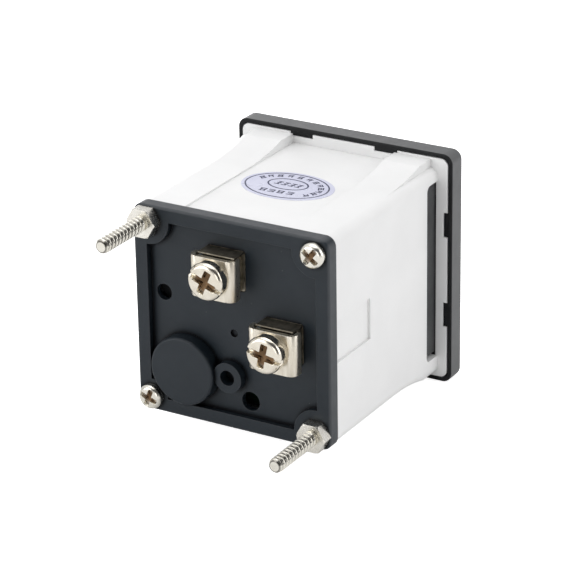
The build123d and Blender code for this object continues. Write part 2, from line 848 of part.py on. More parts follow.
def hairspring(near):
    """A flat spiral of half turns whose centres step from side to side."""
    strip = Sketch()
    for turn in range(spring_half_turns):
        radius = collet_radius + spring_strip / 2 + turn * spring_pitch
        odd = turn % 2
        ring = Circle(radius + spring_strip / 2) - Circle(radius - spring_strip / 2)
        side = Align.MAX if odd else Align.MIN
        half = Rectangle(4 * radius, 2 * radius, align=(Align.CENTER, side))
        strip += Pos(odd * spring_pitch, 0) * (ring & half)
    return between(at(pivot_spot, strip, lever_angle), near, near + spring_width)


def pointer():
    """A lance on a cross of balance arms, pointing to the left at rest."""
    x, z = pivot_spot
    half_root, half_tip = pointer_root_width / 2, pointer_tip_width / 2
    lance = make_face(
        Polyline(
            (0, -half_root),
            (0, half_root),
            (-pointer_length, half_tip),
            (-pointer_length, -half_tip),
            close=True,
        )
    )
    shape = Circle(pointer_hub_radius) + lance
    shape += Rectangle(pointer_tail, pointer_arm_width, align=(Align.MIN, Align.CENTER))
    shape += Rectangle(pointer_arm_width, 2 * pointer_arm)
    shape -= Circle(staff_radius)
    return between(at(pivot_spot, shape), pointer_front, pointer_front + pointer_thickness)


def balance_weight(angle, height):
    near = pointer_front + pointer_thickness
    return disc(weight_radius, near, near + height, from_pivot(weight_distance, angle))


def circuit_board():
    side = cavity_side - 2 * board_wall_gap
    outline = Rectangle(side, side)
    for spot in stud_spots + screw_spots:
        outline -= at(spot, Circle(post_radius + board_post_gap))
    for spot in terminal_spots:
        outline -= at(spot, Circle(terminal_thread_radius + board_hole_gap))
    return between(outline, board_front, board_rear)


def trimmer():
    top = board_rear + trimmer_height
    body = disc(trimmer_radius, board_rear, top, trimmer_spot)
    slot = at(trimmer_spot, Rectangle(trimmer_slot_length, trimmer_slot), bridge_angle)
    return body - between(slot, top - trimmer_slot, top)


def capacitor():
    near = board_front - capacitor_height
    can = disc(capacitor_radius, near, board_front, capacitor_spot)
    can = chamfer(front_edges(can), capacitor_round)
    groove_front = board_front - capacitor_groove_lift
    ring = Circle(capacitor_radius) - Circle(capacitor_radius - capacitor_groove)
    return can - between(at(capacitor_spot, ring), groove_front - capacitor_groove, groove_front)


def resistor(spot):
    """A body with two thicker ends, and wires bent down to the board."""
    middle = board_front - resistor_lift - resistor_radius
    half, neck = resistor_length / 2, resistor_length / 2 - resistor_cap
    outline = (
        (-half, 0),
        (-half, resistor_radius),
        (-neck, resistor_radius),
        (-neck, resistor_waist),
        (neck, resistor_waist),
        (neck, resistor_radius),
        (half, resistor_radius),
        (half, 0),
    )
    body = revolve(make_face(Polyline(*outline, close=True)), axis=Axis.X)
    reach = half + resistor_wire_reach
    drop = board_front - middle
    for way in (-1, 1):
        path = FilletPolyline((way * half, 0, 0), (way * reach, 0, 0), (way * reach, drop, 0), radius=resistor_wire_bend)
        section = Plane(origin=path @ 0, z_dir=path % 0) * Circle(resistor_wire_radius)
        body += sweep(section, path=path)
    return Pos(spot[0], middle, spot[1]) * body


def lead_wire(seat, board_spot):
    """A wire from the back of the movement to the front of the board."""
    near = rear_bridge_back
    points = [
        Vector(seat[0], near, seat[1]),
        Vector(seat[0], near + lead_straight, seat[1]),
        Vector(board_spot[0], board_front - lead_straight, board_spot[1]),
        Vector(board_spot[0], board_front, board_spot[1]),
    ]
    turn = radians((points[2] - points[1]).get_angle(Vector(0, 1, 0)))
    run = min(lead_straight, (points[2] - points[1]).length)
    bend = lead_bend_share * run / (sin(turn / 2) / cos(turn / 2))
    print("lead wire bend radius", round(bend, 2))
    path = FilletPolyline(*points, radius=bend)
    section = Plane(origin=path @ 0, z_dir=path % 0) * Circle(lead_radius)
    return sweep(section, path=path)


def inspection_label():
    floor = body_side / 2 - channel_depth
    film = Pos(label_spot[0], label_spot[1], floor) * Ellipse(label_width / 2, label_depth / 2)
    return extrude(film, amount=label_thickness)


def write_zero_ratio():
    """Print how far the zero lever turns for each degree of the adjuster."""
    knob_turn = radians(zero_turn)
    along = adjuster_distance + adjuster_pin_offset * cos(knob_turn)
    across = adjuster_pin_offset * sin(knob_turn)
    print("zero lever ratio", round(degrees(atan2(across, along)) / degrees(knob_turn), 4))


def numbered(name, maker, spots):
    """Two or more copies of a piece, numbered from one."""
    return {f"{name}_{count}": maker(spot) for count, spot in enumerate(spots, 1)}


def nodes():
    made = {
        "bezel": bezel(),
        "window": window(),
        "housing": housing(),
        "rear_plate": rear_plate(),
        "dial_frame": dial_frame(),
        "dial_plate": dial_plate(),
        "corner_cover": corner_cover(),
        "zero_adjuster": zero_adjuster(),
        "zero_lever": zero_lever(),
        "front_bearing": front_bearing(),
        "rear_bearing": rear_bearing(),
        "front_bridge": front_bridge(),
        "rear_bridge": rear_bridge(),
        "yoke": yoke(),
        "core_magnet": core_magnet(),
        "core_strap_front": core_strap(front_strap, yoke_start),
        "core_strap_rear": core_strap(yoke_end, rear_strap),
        "coil_former": coil_former(),
        "moving_coil": moving_coil(),
        "front_staff": front_staff(),
        "rear_staff": rear_staff(),
        "front_hairspring": hairspring(front_spring_start),
        "rear_hairspring": hairspring(rear_spring_start),
        "pointer": pointer(),
        "tail_weight": balance_weight(0, tail_weight_height),
        "upper_weight": balance_weight(90, arm_weight_height),
        "lower_weight": balance_weight(-90, arm_weight_height),
        "circuit_board": circuit_board(),
        "trimmer": trimmer(),
        "capacitor": capacitor(),
        "inspection_label": inspection_label(),
    }
    made |= numbered("movement_screw", movement_screw, leg_spots)
    made |= numbered("dial_screw", dial_screw, dial_screw_spots)
    made |= numbered("resistor", resistor, resistor_spots)
    made |= numbered("mounting_stud", mounting_stud, stud_spots)
    made |= numbered("stud_nut", stud_nut, stud_spots)
    made |= numbered("plate_screw", plate_screw, screw_spots)
    made |= numbered("terminal_base", terminal_base, terminal_spots)
    made |= numbered("terminal_clamp", terminal_clamp, terminal_spots)
    made |= numbered("lock_washer", lock_washer, terminal_spots)
    made |= numbered("terminal_screw", terminal_screw, terminal_spots)
    for count, (seat, board_spot) in enumerate(zip(leg_spots, lead_board_spots), 1):
        made[f"lead_wire_{count}"] = lead_wire(seat, board_spot)
    return made


os.makedirs("parts", exist_ok=True)
write_zero_ratio()
for node, solid in nodes().items():
    export_step(solid, f"parts/{node}.step")
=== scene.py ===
"""The looks of the analog panel meter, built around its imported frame."""

import json
import math
from typing import NamedTuple

import bmesh
import bpy
from mathutils import Matrix, Vector


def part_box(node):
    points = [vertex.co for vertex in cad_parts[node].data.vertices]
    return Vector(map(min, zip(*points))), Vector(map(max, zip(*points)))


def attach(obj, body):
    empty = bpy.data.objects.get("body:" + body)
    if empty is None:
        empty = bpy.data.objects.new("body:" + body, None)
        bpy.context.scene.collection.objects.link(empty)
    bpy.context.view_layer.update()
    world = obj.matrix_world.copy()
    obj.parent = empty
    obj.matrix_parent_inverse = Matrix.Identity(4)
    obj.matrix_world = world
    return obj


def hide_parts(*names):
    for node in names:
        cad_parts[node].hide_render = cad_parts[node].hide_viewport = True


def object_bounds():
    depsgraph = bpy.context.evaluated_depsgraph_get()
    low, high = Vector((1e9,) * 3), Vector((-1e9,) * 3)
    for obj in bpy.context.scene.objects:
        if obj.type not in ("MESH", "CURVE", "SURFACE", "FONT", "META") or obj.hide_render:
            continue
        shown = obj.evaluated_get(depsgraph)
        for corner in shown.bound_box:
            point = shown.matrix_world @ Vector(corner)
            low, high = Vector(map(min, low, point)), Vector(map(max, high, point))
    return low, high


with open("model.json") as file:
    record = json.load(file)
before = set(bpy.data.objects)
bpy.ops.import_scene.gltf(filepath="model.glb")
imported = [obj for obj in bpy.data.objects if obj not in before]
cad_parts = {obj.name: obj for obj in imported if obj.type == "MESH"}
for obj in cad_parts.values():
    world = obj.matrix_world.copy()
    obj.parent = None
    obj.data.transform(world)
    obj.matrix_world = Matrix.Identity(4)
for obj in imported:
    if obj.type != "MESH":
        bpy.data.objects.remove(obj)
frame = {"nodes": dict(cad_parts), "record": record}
CAD_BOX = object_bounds()
NODES = frame["nodes"]
MM = 0.001


# ---------------------------------------------------------------- camera

# The camera's axes, spot and lens, solved from the outline and corners in the photograph.
RIGHT = Vector((-0.86165209, -0.50722761, -0.01660813))
UP = Vector((0.18416925, -0.34301669, 0.92109784))
BACK = Vector((-0.47290312, 0.79060718, 0.38897677))
CAMERA_SPOT = Vector((-0.26084, 0.46095, 0.21714))
SENSOR_WIDTH = 36.0
LENS = 184.8
NEAREST, FARTHEST = 0.01, 20.0

camera = bpy.data.objects.new("camera", bpy.data.cameras.new("camera"))
bpy.context.scene.collection.objects.link(camera)
camera.data.sensor_width = SENSOR_WIDTH
camera.data.lens = LENS
camera.data.clip_start = NEAREST
camera.data.clip_end = FARTHEST
camera.matrix_world = Matrix.Translation(CAMERA_SPOT) @ Matrix((RIGHT, UP, BACK)).transposed().to_4x4()
bpy.context.scene.camera = camera


# ---------------------------------------------------------------- shader nodes

class Graph:
    """Short ways to add nodes to a shader tree and to join them."""

    def __init__(self, tree):
        self.tree = tree

    def new(self, kind, **values):
        node = self.tree.nodes.new("ShaderNode" + kind)
        for key, value in values.items():
            setattr(node, key, value)
        return node

    def join(self, source, target):
        self.tree.links.new(source, target)

    def part(self, vector, axis):
        """One coordinate of a vector."""
        node = self.new("SeparateXYZ")
        self.join(vector, node.inputs[0])
        return node.outputs[axis]

    def ranged(self, source, low, high, start=0.3, end=0.7):
        """Low where the source is at start, high where it is at end, and even between."""
        node = self.new("MapRange")
        node.inputs["From Min"].default_value = start
        node.inputs["From Max"].default_value = end
        node.inputs["To Min"].default_value = low
        node.inputs["To Max"].default_value = high
        self.join(source, node.inputs["Value"])
        return node.outputs[0]

    def ramp(self, source, *stops):
        """A colour by the source's value, from stops of (value, colour)."""
        node = self.new("ValToRGB")
        elements = node.color_ramp.elements
        while len(elements) < len(stops):
            elements.new(0.5)
        for element, (spot, colour) in zip(elements, stops):
            element.position = spot
            element.color = (*colour, 1)
        self.join(source, node.inputs[0])
        return node.outputs["Color"]


# ---------------------------------------------------------------- studio

SKY = ((0.40, (0.62, 0.62, 0.63)), (0.62, (0.70, 0.70, 0.71)), (0.92, (1.0, 1.0, 1.01)))
DIM_SIDE = (-0.50, 0.62, 0.60)
DIM_START, DIM_END = 0.62, 0.90
DIM_STRENGTH = 0.10
SEEN_STRENGTH = 1.05

# Name, spot, target, size and watts of each soft light.
LIGHTS = (
    ("ceiling", (0.05, 0.10, 0.75), (0, 0.02, 0), (0.7, 0.7), 1.8),
    ("side_panel", (-0.75, -0.15, 0.30), (0, 0.02, 0), (0.5, 0.6), 1.5),
    ("back_panel", (0.45, 0.65, 0.20), (0, 0.03, 0), (0.5, 0.5), 1.6),
    ("rear_fill", (-0.30, 0.80, 0.10), (0, 0.03, 0), (0.4, 0.4), 0.8),
    ("front_fill", (0.55, -0.62, -0.05), (0, 0, 0), (0.4, 0.4), 2.0),
)


def studio_world():
    """White for the camera; for the light, a sky that brightens upward and is dim on one side."""
    world = bpy.data.worlds.new("studio")
    world.use_nodes = True
    bpy.context.scene.world = world
    graph = Graph(world.node_tree)
    graph.tree.nodes.clear()
    toward = graph.new("TexCoord").outputs["Generated"]
    sky = graph.ramp(graph.ranged(graph.part(toward, "Z"), 0.0, 1.0, -1.0, 1.0), *SKY)
    sky.node.color_ramp.interpolation = "EASE"
    nearness = graph.new("VectorMath", operation="DOT_PRODUCT")
    graph.join(toward, nearness.inputs[0])
    nearness.inputs[1].default_value = DIM_SIDE
    strength = graph.ranged(nearness.outputs["Value"], 1.0, DIM_STRENGTH, DIM_START, DIM_END)
    strength.node.interpolation_type = "SMOOTHERSTEP"
    lit = graph.new("Background")
    graph.join(sky, lit.inputs["Color"])
    graph.join(strength, lit.inputs["Strength"])
    seen = graph.new("Background")
    seen.inputs["Color"].default_value = (1, 1, 1, 1)
    seen.inputs["Strength"].default_value = SEEN_STRENGTH
    mix = graph.new("MixShader")
    graph.join(graph.new("LightPath").outputs["Is Camera Ray"], mix.inputs[0])
    graph.join(lit.outputs[0], mix.inputs[1])
    graph.join(seen.outputs[0], mix.inputs[2])
    graph.join(mix.outputs[0], graph.new("OutputWorld").inputs["Surface"])


def soft_light(name, spot, target, size, watts):
    """A rectangular area light that faces its target."""
    data = bpy.data.lights.new(name, "AREA")
    data.shape = "RECTANGLE"
    data.size, data.size_y = size
    data.energy = watts
    light = bpy.data.objects.new(name, data)
    bpy.context.scene.collection.objects.link(light)
    light.location = Vector(spot)
    light.rotation_mode = "QUATERNION"
    light.rotation_quaternion = (Vector(target) - Vector(spot)).to_track_quat("-Z", "Y")


studio_world()
for values in LIGHTS:
    soft_light(*values)
bpy.context.scene.view_settings.view_transform = "Standard"
bpy.context.scene.view_settings.look = "None"


# ---------------------------------------------------------------- materials

NOISE_ROUGHNESS = 0.55
BEVEL_SAMPLES = 4
OCCLUSION_SAMPLES = 8


class Look(Graph):
    """A procedural material around one Principled shader."""

    def __init__(self, name, **values):
        self.material = bpy.data.materials.new(name)
        self.material.use_nodes = True
        super().__init__(self.material.node_tree)
        self.shader = self.tree.nodes["Principled BSDF"]
        self.place = self.new("TexCoord").outputs["Object"]
        for socket, value in values.items():
            self.shader.inputs[socket.replace("_", " ")].default_value = value

    def noise(self, scale, detail=4.0, stretch=None):
        """Noise with this many features to the metre."""
        node = self.new("TexNoise")
        node.inputs["Scale"].default_value = scale
        node.inputs["Detail"].default_value = detail
        node.inputs["Roughness"].default_value = NOISE_ROUGHNESS
        place = self.place
        if stretch:
            mapping = self.new("Mapping")
            mapping.inputs["Scale"].default_value = stretch
            self.join(place, mapping.inputs["Vector"])
            place = mapping.outputs["Vector"]
        self.join(place, node.inputs["Vector"])
        return node.outputs["Fac"]

    def blend(self, amount, first, second):
        """The first colour where the amount is 0, the second where it is 1."""
        node = self.new("Mix", data_type="RGBA")
        self.join(amount, node.inputs[0])
        for source, target in ((first, node.inputs[6]), (second, node.inputs[7])):
            if isinstance(source, tuple):
                target.default_value = (*source, 1)
            else:
                self.join(source, target)
        return node.outputs[2]

    def maths(self, operation, *sources):
        """The result of a Math node, whose inputs are numbers or other nodes' outputs."""
        node = self.new("Math", operation=operation)
        for source, target in zip(sources, node.inputs):
            if isinstance(source, float):
                target.default_value = source
            else:
                self.join(source, target)
        return node.outputs[0]

    def softened(self, radius):
        """The surface's normal, with its edges rounded to this radius."""
        node = self.new("Bevel", samples=BEVEL_SAMPLES)
        node.inputs["Radius"].default_value = radius
        return node.outputs[0]

    def edge(self, radius):
        """1 along the outer and inner edges, 0 on the flats."""
        same = self.new("VectorMath", operation="DOT_PRODUCT")
        self.join(self.softened(radius), same.inputs[0])
        self.join(self.new("NewGeometry").outputs["True Normal"], same.inputs[1])
        return self.ranged(same.outputs["Value"], 0.0, 1.0, 0.98, 0.75)

    def from_axis(self, spot):
        """Distance from the line along Y through this spot (x, z), which is in millimetres."""
        away = self.new("VectorMath", operation="SUBTRACT")
        self.join(self.place, away.inputs[0])
        away.inputs[1].default_value = (spot[0] * MM, 0.0, spot[1] * MM)
        flat = self.new("VectorMath", operation="MULTIPLY")
        self.join(away.outputs[0], flat.inputs[0])
        flat.inputs[1].default_value = (1.0, 0.0, 1.0)
        length = self.new("VectorMath", operation="LENGTH")
        self.join(flat.outputs[0], length.inputs[0])
        return length.outputs["Value"]

    def bump(self, source, height, soften=None):
        """Bump of this height in metres, over edges softened to a radius."""
        node = self.new("Bump")
        node.inputs["Strength"].default_value = 1.0
        node.inputs["Distance"].default_value = height
        self.join(source, node.inputs["Height"])
        if soften:
            self.join(self.softened(soften), node.inputs["Normal"])
        self.join(node.outputs[0], self.shader.inputs["Normal"])

    def paint(self, source):
        """Give the shader its base colour."""
        self.join(source, self.shader.inputs["Base Color"])

    def roughen(self, source):
        """Give the shader its roughness."""
        self.join(source, self.shader.inputs["Roughness"])

    def made_of(self, socket):
        """What is joined to one of the shader's sockets so far."""
        return self.shader.inputs[socket].links[0].from_socket


def moulded(name, dark, light, rough, grain, soften, edge=None, **values):
    """Moulded plastic: broad colour drift, fine grain and softened edges; where an edge colour is given, a
    painted highlight along the edges.
    """
    look = Look(name, **values)
    colour = look.ramp(look.noise(90, 5), (0.35, dark), (0.65, light))
    # The edge colour is a painted highlight along the outer and inner edges.
    if edge:
        colour = look.blend(look.edge(0.00025), colour, edge)
    look.paint(colour)
    look.roughen(look.ranged(look.noise(420, 6), rough - 0.05, rough + 0.06))
    look.bump(look.noise(5200, 3), grain, soften)
    return look


def metal(name, dark, light, rough, soften):
    """Bare or plated metal: patchy colour and roughness, and fine scratches."""
    look = Look(name, Metallic=1.0)
    look.paint(look.ramp(look.noise(700, 5), (0.3, dark), (0.7, light)))
    look.roughen(look.ranged(look.noise(1900, 6), rough - 0.06, rough + 0.08))
    look.bump(look.noise(2600, 5), 0.0000012, soften)
    return look


def copper_winding():
    """Lacquered copper wire, in turns that follow each other along Y."""
    look = Look("copper", Metallic=1.0, Coat_Weight=0.6, Coat_Roughness=0.15)
    wave = look.new("TexWave", wave_type="BANDS", bands_direction="Y")
    wave.inputs["Scale"].default_value = 2600
    look.join(look.place, wave.inputs["Vector"])
    look.paint(look.ramp(wave.outputs["Fac"], (0.1, (0.30, 0.10, 0.04)), (0.6, (0.72, 0.30, 0.13))))
    look.roughen(look.ranged(look.noise(1500), 0.22, 0.34))
    look.bump(wave.outputs["Fac"], 0.00002)
    return look


def clear_pane():
    """A see-through pane that adds its gloss and darkens what is behind it a little."""
    look = Look("clear_pane", Alpha=0.07, IOR=1.49)
    look.paint(look.ramp(look.noise(60, 3), (0.3, (0.040, 0.044, 0.043)), (0.7, (0.060, 0.064, 0.063))))
    look.roughen(look.ranged(look.noise(300), 0.01, 0.03))
    return look


def brushed_nickel():
    """Nickel sheet with fine upright streaks."""
    look = Look("clamp_nickel", Metallic=1.0)
    streaks = look.noise(1500, 4, stretch=(1.0, 1.0, 0.12))
    look.paint(look.ramp(streaks, (0.3, (0.66, 0.605, 0.50)), (0.7, (0.84, 0.79, 0.69))))
    look.roughen(look.ranged(look.noise(1900, 6), 0.26, 0.42))
    look.bump(streaks, 0.000003, 0.00010)
    return look


def rear_moulding():
    """Bluish black, with a painted lighter tone on the outer sides, a painted highlight along the edges,
    painted shade along the inner corners, and specks of dust.
    """
    look = moulded(
        "rear_moulding", (0.0075, 0.0130, 0.0190), (0.0105, 0.0165, 0.0230), 0.46,
        0.000007, 0.00014, IOR=1.45,
    )
    size = look.new("VectorMath", operation="ABSOLUTE")
    look.join(look.place, size.inputs[0])
    reach = look.maths("MAXIMUM", look.part(size.outputs[0], "X"), look.part(size.outputs[0], "Z"))
    # Painted light: the outer sides get a lighter colour for the light they catch.
    painted_lit_side = look.ranged(reach, 0.0, 1.0, 0.02065, 0.02105)
    light = look.ramp(look.noise(140, 4), (0.35, (0.044, 0.049, 0.055)), (0.65, (0.054, 0.059, 0.066)))
    colour = look.blend(painted_lit_side, look.made_of("Base Color"), light)
    # Painted highlight: a lighter colour along the edges.
    colour = look.blend(look.edge(0.00022), colour, (0.050, 0.056, 0.062))
    # Painted shade: near black where ambient occlusion finds inner corners and walls close by; the specular
    # level is lowered there too.
    occlusion = look.new("AmbientOcclusion", samples=OCCLUSION_SAMPLES)
    occlusion.inputs["Distance"].default_value = 0.0014
    free_of_painted_shade = look.ranged(occlusion.outputs["AO"], 0.0, 1.0, 0.55, 0.86)
    colour = look.blend(free_of_painted_shade, (0.0030, 0.0036, 0.0046), colour)
    speck = look.ranged(look.noise(1300, 2), 0.0, 1.0, 0.775, 0.785)
    look.paint(look.blend(speck, colour, (0.22, 0.22, 0.21)))
    look.join(look.ranged(free_of_painted_shade, 0.16, 0.44, 0.0, 1.0), look.shader.inputs["Specular IOR Level"])
    return look


def bezel_moulding():
    """Charcoal moulding whose sides are painted lighter and whose front and rear are painted darker, as
    painted light and shade by the way each face is turned, with a painted highlight along its edges; its
    front and rear are matt as well.
    """
    look = moulded(
        "bezel_moulding", (0.052, 0.054, 0.056), (0.062, 0.064, 0.066), 0.40,
        0.000006, 0.00014, edge=(0.056, 0.059, 0.062), IOR=1.5,
    )
    # Painted light and shade: faces turned along Y get a near-black colour and less specular, and the sides
    # keep the lighter charcoal.
    facing = look.maths("ABSOLUTE", look.part(look.new("NewGeometry").outputs["Normal"], "Y"))
    matt_and_painted_shade = look.ranged(facing, 0.0, 1.0, 0.25, 0.50)
    look.paint(look.blend(matt_and_painted_shade, look.made_of("Base Color"), (0.0060, 0.0066, 0.0074)))
    look.join(look.ranged(matt_and_painted_shade, 0.95, 0.22, 0.0, 1.0), look.shader.inputs["Specular IOR Level"])
    return look


# Darker and lighter colour, roughness, height of the grain and radius of softened edges, then further shader
# values; an edge entry among them is the colour of a painted highlight along the edges.
PLASTICS = {
    "black_plastic": (
        (0.0062, 0.0072, 0.0088), (0.0085, 0.0096, 0.0112), 0.44, 0.000006, 0.00014,
        {"edge": (0.022, 0.024, 0.027), "IOR": 1.5},
    ),
    "frame_moulding": (
        (0.016, 0.018, 0.020), (0.021, 0.023, 0.025), 0.40, 0.000006, 0.00014,
        {"edge": (0.050, 0.053, 0.057), "IOR": 1.5, "Specular_IOR_Level": 0.95},
    ),
    "white_plastic": (
        (0.83, 0.83, 0.825), (0.86, 0.86, 0.855), 0.40, 0.0000025, 0.00016, {"IOR": 1.5},
    ),
    "dial_face": ((0.80, 0.80, 0.78), (0.83, 0.83, 0.81), 0.55, 0.000002, 0.00005, {}),
    "pointer_paint": ((0.016, 0.016, 0.017), (0.024, 0.024, 0.025), 0.48, 0.000003, 0.00005, {}),
    "board": ((0.006, 0.026, 0.013), (0.010, 0.038, 0.020), 0.34, 0.000005, 0.00006, {}),
    "trimmer_body": ((0.012, 0.013, 0.014), (0.018, 0.019, 0.021), 0.36, 0.000004, 0.0001, {}),
    "can_sleeve": ((0.012, 0.016, 0.045), (0.018, 0.024, 0.065), 0.28, 0.000002, 0.0001, {}),
    "resistor_body": ((0.11, 0.23, 0.29), (0.14, 0.28, 0.34), 0.32, 0.000005, 0.0001, {}),
    "wire_red": ((0.36, 0.012, 0.010), (0.44, 0.020, 0.014), 0.42, 0.000004, 0.0001, {}),
    "wire_black": ((0.014, 0.014, 0.015), (0.022, 0.022, 0.023), 0.42, 0.000004, 0.0001, {}),
    "label_film": (
        (0.59, 0.60, 0.75), (0.65, 0.66, 0.80), 0.30, 0.000002, 0.00005,
        {"Coat_Weight": 0.25, "Coat_Roughness": 0.12},
    ),
    "label_ink": ((0.022, 0.026, 0.075), (0.035, 0.040, 0.11), 0.40, 0.000002, 0.00003, {}),
    "dial_ink": ((0.010, 0.010, 0.011), (0.016, 0.016, 0.017), 0.50, 0.000002, 0.00003, {}),
}

# Darker and lighter colour, roughness and radius of softened edges.
METALS = {
    "nickel": ((0.72, 0.665, 0.56), (0.84, 0.79, 0.69), 0.20, 0.00012),
    "zinc": ((0.76, 0.73, 0.66), (0.85, 0.83, 0.77), 0.24, 0.00010),
    "brass": ((0.72, 0.52, 0.22), (0.80, 0.62, 0.30), 0.26, 0.00008),
    "aluminium": ((0.74, 0.75, 0.77), (0.82, 0.83, 0.84), 0.32, 0.00008),
    "soft_iron": ((0.40, 0.40, 0.40), (0.52, 0.52, 0.51), 0.36, 0.00010),
    "magnet": ((0.20, 0.20, 0.21), (0.28, 0.28, 0.29), 0.42, 0.00010),
    # The terminal bases' metal, darkened to a brownish dark as painted shade.
    "painted_shade_base": ((0.13, 0.115, 0.088), (0.34, 0.31, 0.25), 0.44, 0.00010),
}

LOOKS = {name: moulded(name, *values, **others) for name, (*values, others) in PLASTICS.items()}
LOOKS.update({name: metal(name, *values) for name, values in METALS.items()})
LOOKS["copper"] = copper_winding()
LOOKS["clear_pane"] = clear_pane()
LOOKS["clamp_nickel"] = brushed_nickel()
LOOKS["rear_moulding"] = rear_moulding()
LOOKS["bezel_moulding"] = bezel_moulding()

# Nodes whose look isn't the one of their material slot.
OWN_LOOKS = {
    "bezel": "bezel_moulding",
    "dial_frame": "frame_moulding",
    "rear_plate": "rear_moulding",
    # The terminal bases take their metal darkened as painted shade.
    "terminal_base_1": "painted_shade_base",
    "terminal_base_2": "painted_shade_base",
}


def dress(thing, look):
    """Give a mesh object one of the looks as its only material."""
    thing.data.materials.clear()
    thing.data.materials.append(LOOKS[look].material)


for part in frame["record"]["subparts"]:
    dress(NODES[part["node"]], OWN_LOOKS.get(part["node"], part["material_slot"]))
for node in NODES.values():
    for polygon in node.data.polygons:
        polygon.use_smooth = True


# ---------------------------------------------------------------- mesh helpers

# Points closer than this, in metres, become one.
SAME_SPOT = 1e-7

# Angles in degrees from which an edge stays sharp.
THREAD_SHARP, HEAD_SHARP, SHEET_SHARP = 32, 38, 35


def piece(name, verts, faces, look, body="root", smooth=None):
    """A mesh object from points in millimetres; smooth is the angle from which edges stay sharp."""
    mesh = bpy.data.meshes.new(name)
    mesh.from_pydata([Vector(v) * MM for v in verts], [], faces)
    built = bmesh.new()
    built.from_mesh(mesh)
    bmesh.ops.remove_doubles(built, verts=built.verts, dist=SAME_SPOT)
    bmesh.ops.recalc_face_normals(built, faces=built.faces)
    built.to_mesh(mesh)
    built.free()
    thing = bpy.data.objects.new(name, mesh)
    bpy.context.scene.collection.objects.link(thing)
    dress(thing, look)
    if smooth is not None:
        for polygon in mesh.polygons:
            polygon.use_smooth = True
        mesh.set_sharp_from_angle(angle=math.radians(smooth))
    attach(thing, body)
    return thing


def turns(count):
    """Angles once around, in even steps."""
    return [2 * math.pi * i / count for i in range(count)]


def band(first, second, count):
    """Faces between two closed loops of points, which start at these two indices."""
    return [(first + i, first + (i + 1) % count, second + (i + 1) % count, second + i) for i in range(count)]


def caps(first, last, count):
    """A face on each of the two end loops."""
    return [tuple(first + i for i in range(count - 1, -1, -1)), tuple(last + i for i in range(count))]


def rings(loops):
    """Points and faces that join closed loops in turn, with both ends capped."""
    count = len(loops[0])
    faces = []
    for row in range(len(loops) - 1):
        faces += band(row * count, (row + 1) * count, count)
    faces += caps(0, (len(loops) - 1) * count, count)
    return [v for loop in loops for v in loop], faces


def millimetres(node):
    """The two opposite corners of a node's box, in millimetres."""
    low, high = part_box(node)
    return low / MM, high / MM


def middle(node):
    """The middle (x, z) of a node as seen from the rear."""
    low, high = millimetres(node)
    return (low.x + high.x) / 2, (low.z + high.z) / 2


# ---------------------------------------------------------------- mounting studs

# Sizes are in millimetres from here on.
THREAD_PITCH = 1.12
THREAD_DEPTH = 0.42
THREAD_FULLNESS = 1.2
THREAD_SIDES = 40
THREAD_ROWS = 12
STUD_CORE = 1.1
STUD_CHAMFER = 0.45
STUD_TAPER = 0.9
# The colour of the painted shade at the bottom of the thread.
THREAD_ROOT_SHADE = (0.050, 0.042, 0.032)

# Distances in metres from the thread's root: its painted shade fades outward, and the plain core has none.
ROOT_SHADE_FULL, ROOT_SHADE_GONE = 0.00004, 0.00028
CORE_FULL, CORE_GONE = 0.00020, 0.00005


def thread_wave(turn):
    """Height of a rounded thread, from 0 at its root to 1 at its crest."""
    share = turn % 1.0
    return 0.5 - 0.5 * math.cos(2 * math.pi * share)


def thread_metal(name, spot, radius):
    """Plated steel, patchy, with painted shade at the bottom of the thread."""
    look = metal(name, (0.74, 0.71, 0.63), (0.84, 0.815, 0.74), 0.20, 0.00004)
    distance = look.from_axis(spot)
    root = (radius - THREAD_DEPTH) * MM
    low = look.ranged(distance, 1.0, 0.0, root + ROOT_SHADE_FULL, root + ROOT_SHADE_GONE)
    threaded = look.ranged(distance, 0.0, 1.0, root - CORE_FULL, root - CORE_GONE)
    patchy = look.maths("MULTIPLY", look.ranged(look.noise(900, 3), 0.65, 1.0), threaded)
    # Painted shade, patchy, at the bottom of the thread.
    painted_shade = look.maths("MULTIPLY", low, patchy)
    look.paint(look.blend(painted_shade, look.made_of("Base Color"), THREAD_ROOT_SHADE))
    return look


def stud(number):
    """A threaded stud in place of its plain solid, at its core size where post and nut hold it."""
    low, high = millimetres(f"mounting_stud_{number}")
    spot = middle(f"mounting_stud_{number}")
    radius = (high.x - low.x) / 2
    nut_end = millimetres(f"stud_nut_{number}")[1].y
    length = high.y - low.y
    rows = int(length / THREAD_PITCH * THREAD_ROWS)
    loops = []
    for row in range(rows + 1):
        y = low.y + length * row / rows
        limit = radius - max(0.0, STUD_CHAMFER - (high.y - y)) * STUD_TAPER if y > nut_end else STUD_CORE
        loop = []
        for side, angle in enumerate(turns(THREAD_SIDES)):
            wave = min(1.0, thread_wave(y / THREAD_PITCH - side / THREAD_SIDES) * THREAD_FULLNESS)
            r = min(radius - THREAD_DEPTH * (1 - wave), limit)
            loop.append((spot[0] + r * math.cos(angle), y, spot[1] + r * math.sin(angle)))
        loops.append(loop)
    verts, faces = rings(loops)
    LOOKS[f"thread_{number}"] = thread_metal(f"thread_{number}", spot, radius)
    thing = piece(f"stud_thread_{number}", verts, faces, f"thread_{number}", smooth=THREAD_SHARP)
    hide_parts(f"mounting_stud_{number}")


for number in (1, 2):
    stud(number)


# ---------------------------------------------------------------- screws

class Kind(NamedTuple):
    """Sizes of one kind of screw: its head, the cross recess in it, and its threaded shank.

    Where slot_arm isn't 0, a shallower slot runs right across the head as well.
    """

    head_radius: float
    depth: float
    arm: float
    half: float
    slot_arm: float
    slot_half: float
    shank_radius: float
    pitch: float
    finish: tuple


